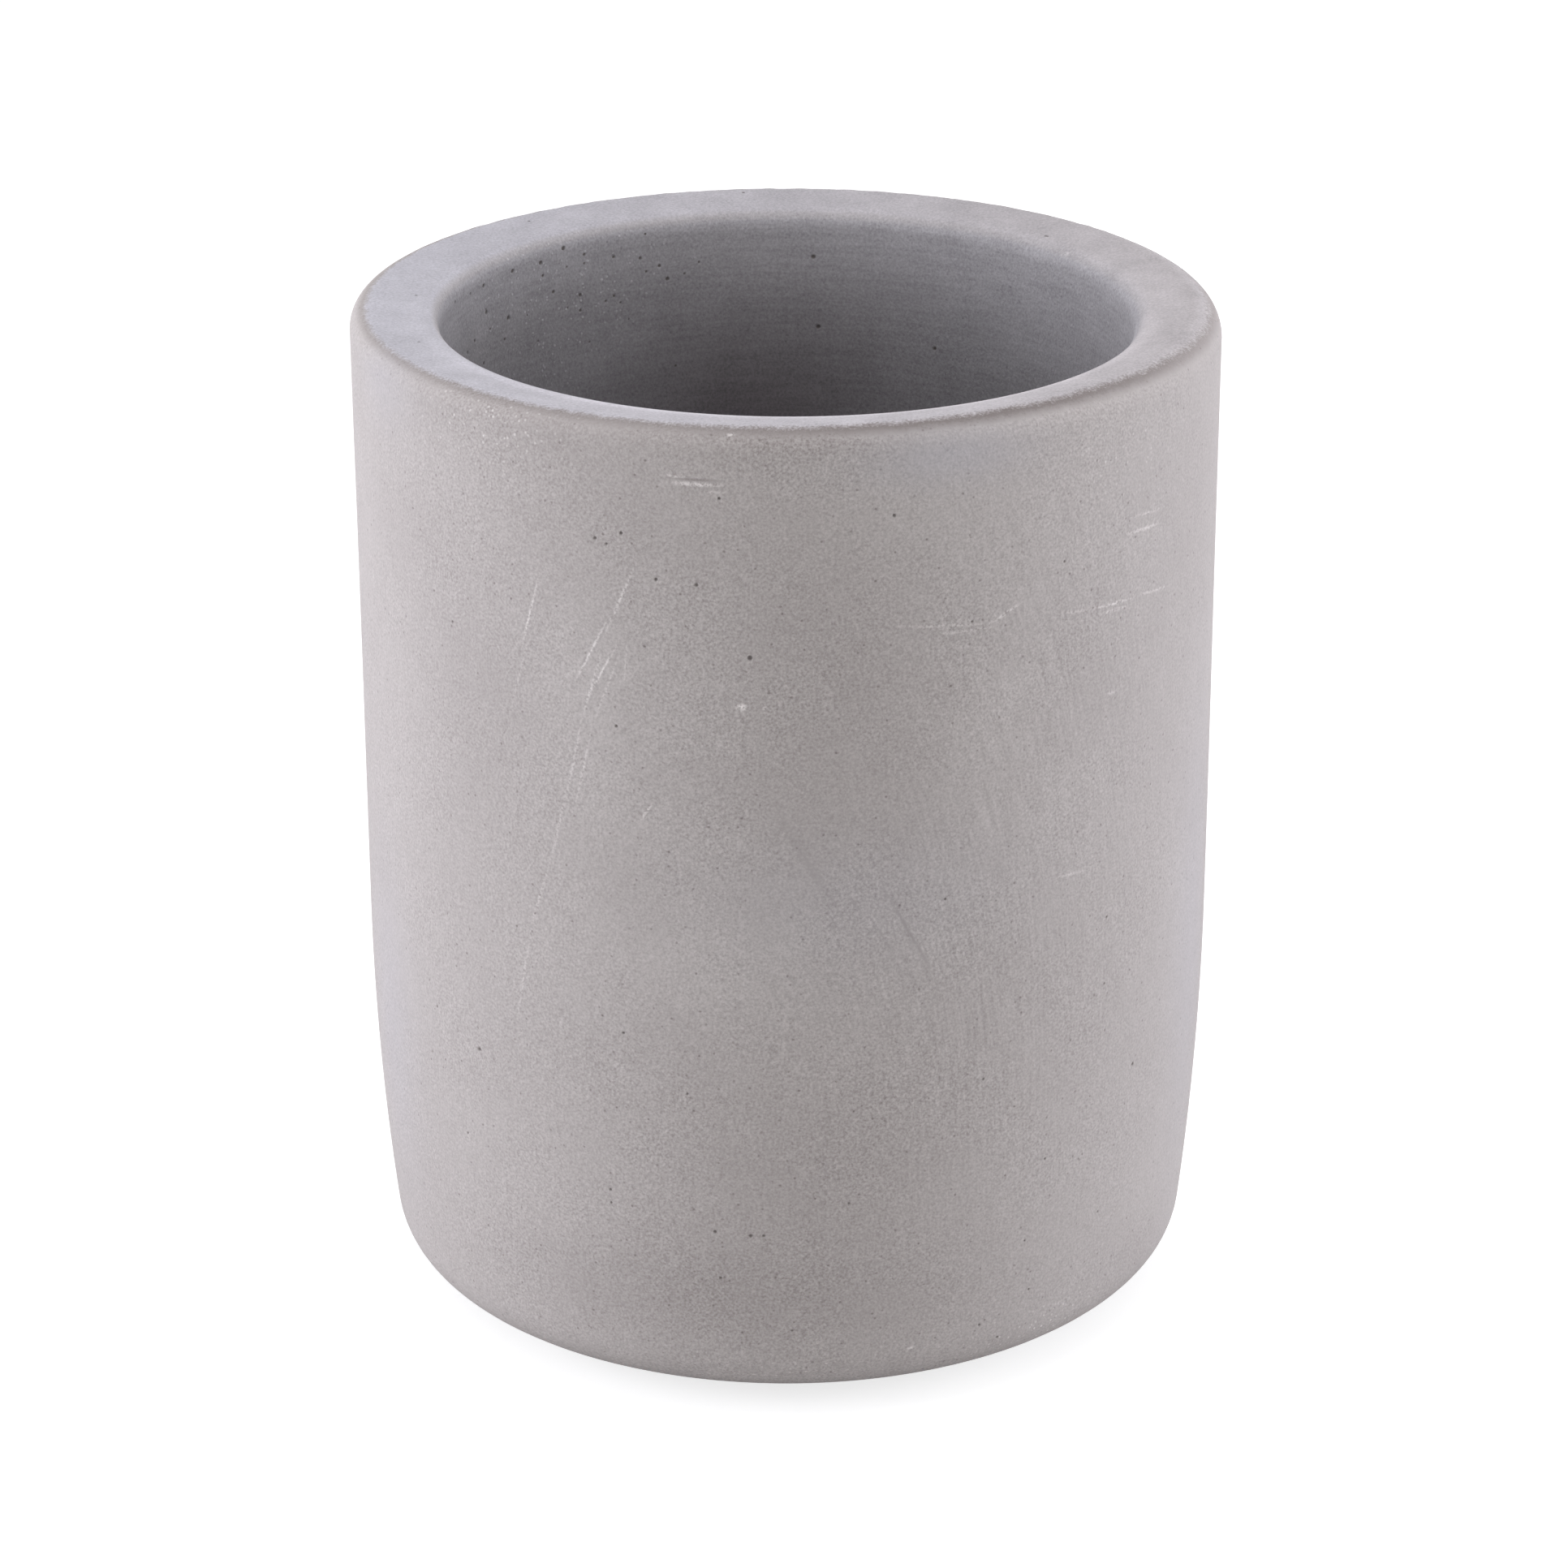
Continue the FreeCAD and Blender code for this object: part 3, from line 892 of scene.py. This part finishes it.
# %% EVA foam
foam, tree = new_material("eva_foam")
where = add(tree, "TexCoord", {}, "Object")
cells = add(tree, "TexVoronoi", {"Vector": where, "Scale": per_mm(0.35)}, "Distance")
dust = add(tree, "TexNoise", {"Vector": where, "Scale": per_mm(7), "Detail": 4})
foam_tone = mixed_in(tree, dust, [(cells, 0.5)])
foam_tone = add(tree, "MapRange", {"Value": foam_tone, "From Min": 0.45, "From Max": 1.05})
foam_colour = add(tree, "Mix", {0: foam_tone, MIX_A: colour("#1B1B1C"), MIX_B: colour("#353435")}, MIX_RESULT,
                  data_type="RGBA")
cell_relief = 0.05              # mm
foam_bump = add(tree, "Bump", {"Height": cells, "Strength": 0.6, "Distance": cell_relief * MM})
foam_rough = add(tree, "MapRange", {"Value": dust, "To Min": 0.8, "To Max": 0.95})
shader = add(tree, "BsdfPrincipled", {"Base Color": foam_colour, "Roughness": foam_rough, "IOR": 1.48,
                                      "Normal": foam_bump})
add(tree, "OutputMaterial", {"Surface": shader})
pad_mesh.materials.append(foam)
print(f"foam of {len(tree.nodes)} nodes")

# %% [markdown]
# ### Adhesive film
# A film of acrylic adhesive holds the foam to the casting, and only its edge shows, as a thin
# honey-coloured line. Its solid has the right shape, so it stays and only gets a finish: smooth, slightly
# glossy, and clouded by tiny bubbles where it was pressed on.

# %% Adhesive film
film, tree = new_material("acrylic_adhesive")
where = add(tree, "TexCoord", {}, "Object")
bubbles = add(tree, "TexNoise", {"Vector": where, "Scale": per_mm(1.2), "Detail": 3})
film_colour = add(tree, "Mix", {0: bubbles, MIX_A: colour("#CDBF9E"), MIX_B: colour("#E4DCC6")}, MIX_RESULT,
                  data_type="RGBA")
film_rough = add(tree, "MapRange", {"Value": bubbles, "To Min": 0.35, "To Max": 0.55})
shader = add(tree, "BsdfPrincipled", {"Base Color": film_colour, "Roughness": film_rough, "IOR": 1.47})
add(tree, "OutputMaterial", {"Surface": shader})
film_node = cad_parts["pad_adhesive"]
film_node.data.materials.clear()
film_node.data.materials.append(film)
print("finishes:", [material.name for material in (concrete, foam, film)])

# %% [markdown]
# ## Light
# The cup stands between two long cards, which light its sides and leave the middle in soft shade, and a
# soft box straight above lights the rim's land. The room is bright near the floor and dim above, so the
# inside of the cup, which sees only the upper part, stays dark. The strengths are set so that a grey in
# between shows about as it is written. The room itself looks white to the camera and in reflections, which
# Light Path keeps apart from its light.

# %% Lamps
def soft_box(name, place, size, strength, tint):
    """Rectangular lamp that faces the cup's middle. White would show this strength there, facing the lamp."""
    place = Vector(place)
    aim = Vector((0, 0, place.z)) if place.xy.length > 0 else Vector((0, 0, rim_z * MM))
    lamp = bpy.data.lights.new(name, "AREA")
    lamp.shape = "RECTANGLE"
    lamp.size = size[0]
    lamp.size_y = size[1]
    lamp.energy = strength * math.pi ** 2 * (place - aim).length_squared
    lamp.color = colour(tint)[:3]
    box = new_object(name, lamp)
    box.matrix_world = Matrix.LocRotScale(place, (place - aim).to_track_quat("Z", "Y"), None)
    box.visible_camera = False


# places and sizes are in metres
soft_box("left_card", (-0.40, -0.03, 0.115), (0.30, 0.21), 0.74, "#F2F5FF")
soft_box("right_card", (0.40, 0.05, 0.090), (0.30, 0.13), 0.61, "#F2F5FF")
soft_box("top_box", (0, 0, 0.55), (0.25, 0.25), 0.58, "#FAFAFF")
print("lamps:", [lamp.name for lamp in bpy.data.lights])


# %% Room
def ray_that_shows(tree):
    """1 for a ray that shows a thing, straight, in a mirror or through glass, and 0 for one that lights."""
    rays = add(tree, "LightPath", {}).node.outputs
    seen = add(tree, "Math", {0: rays["Is Camera Ray"], 1: rays["Is Glossy Ray"]}, operation="MAXIMUM")
    return add(tree, "Math", {0: seen, 1: rays["Is Transmission Ray"]}, operation="MAXIMUM")


white = colour("#FFFFFF")
world = bpy.data.worlds.new("studio")
bpy.context.scene.world = world
world.use_nodes = True
sky = world.node_tree
sky.nodes.clear()
seen = ray_that_shows(sky)
way = add(sky, "TexCoord", {}, "Generated")
steepness = add(sky, "SeparateXYZ", {"Vector": way}, "Z")
low_light = 1.6                 # walls of the room, near the floor
high_light = 0.32               # its dim upper part
low_edge = math.sin(math.radians(8))  # the bright part ends here, and the dim one begins above
high_edge = math.sin(math.radians(28))
brightness = add(sky, "MapRange", {"Value": steepness, "From Min": low_edge, "From Max": high_edge,
                                   "To Min": low_light, "To Max": high_light})
room_light = add(sky, "Background", {"Color": white, "Strength": brightness})
white_room = add(sky, "Background", {"Color": white, "Strength": 1.0})
room = add(sky, "MixShader", {0: seen, 1: room_light, 2: white_room})
add(sky, "OutputWorld", {"Surface": room})
print(f"room light from {high_light} above to {low_light} near the floor")

# %% [markdown]
# ## Floor
# The floor is a sheet of pale paper. A plain pale floor would turn grey away from the lamps, so the camera
# sees it lifted by a little light of its own, which lights nothing else. What is left is the soft shadow at
# the foot.

# %% Floor
floor_reach = 3.0               # metres
floor_lift = 0.70               # light of its own, for the camera
floor_drop = 0.02 * MM          # below the foam, so that the two faces don't fight
floor_signs = ((-1, -1), (1, -1), (1, 1), (-1, 1))
floor_corners = [(x * floor_reach, y * floor_reach, -floor_drop) for x, y in floor_signs]
floor_mesh = bpy.data.meshes.new("floor")
floor_mesh.from_pydata(floor_corners, [], [(0, 1, 2, 3)])
floor = new_object("floor", floor_mesh)
floor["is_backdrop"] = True
paper, tree = new_material("white_paper")
lift = add(tree, "Math", {0: ray_that_shows(tree), 1: floor_lift}, operation="MULTIPLY")
matt = add(tree, "BsdfDiffuse", {"Color": colour("#D2D2D2")})
glow = add(tree, "Emission", {"Color": white, "Strength": lift})
lifted = add(tree, "AddShader", {0: matt, 1: glow})
add(tree, "OutputMaterial", {"Surface": lifted})
floor_mesh.materials.append(paper)
print(f"floor {2 * floor_reach:.0f} m wide")

# %% [markdown]
# ## Finish
# The Standard view transform shows each grey as it is written, where a filmic one would bend it. The boxes
# of the solid and of the dressed tumbler are worked out at the end, and the dressed one's is printed.

# %% Finish
bpy.context.scene.view_settings.view_transform = "Standard"
visual_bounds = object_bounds()
boxes = {"cad": solid_bounds, "visual": visual_bounds}
{name: [list(corner) for corner in box] for name, box in boxes.items()}
print("visual box, in mm:", [[round(length / MM, 2) for length in corner] for corner in visual_bounds])
